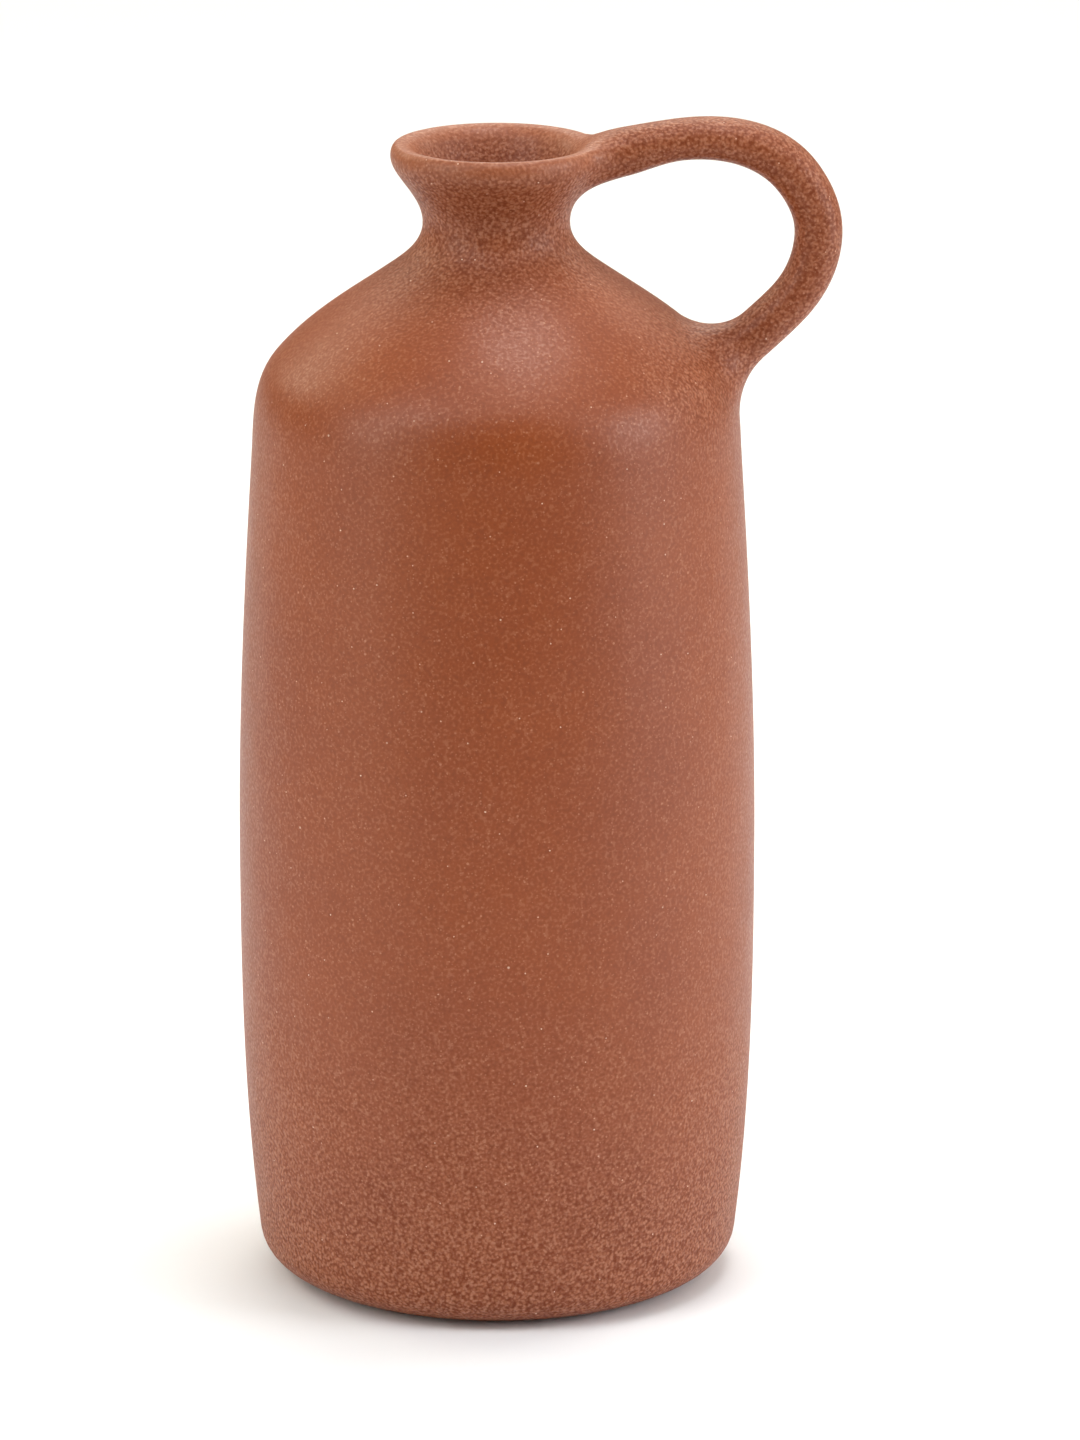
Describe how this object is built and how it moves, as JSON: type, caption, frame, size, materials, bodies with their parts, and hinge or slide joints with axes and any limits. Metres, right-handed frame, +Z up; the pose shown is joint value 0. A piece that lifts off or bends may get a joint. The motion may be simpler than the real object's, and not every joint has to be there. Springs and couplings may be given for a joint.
{
  "type": "ceramic pitcher",
  "caption": "Tall unglazed stoneware pitcher with coned shoulders, a narrow waisted neck, a flared lip and a loop handle from lip to shoulder.",
  "frame": {"origin": "on the axis of the body, in the flat face that the pitcher stands on", "axes": "+Z up along the axis of the body, +X out through the middle of the handle, +Y across the handle"},
  "size_m": [0.1519, 0.131, 0.2994],
  "materials": {
    "body_clay": "bare fired stoneware, satin, fine light grog",
    "handle_clay": "bare fired stoneware, satin, fine light grog",
    "joint_clay": "soft clay smoothed by hand and fired with the body"
  },
  "bodies": {
    "root": {"jug_body": "body_clay", "handle": "handle_clay", "upper_joint": "joint_clay", "lower_joint": "joint_clay"}
  },
  "joints": []
}
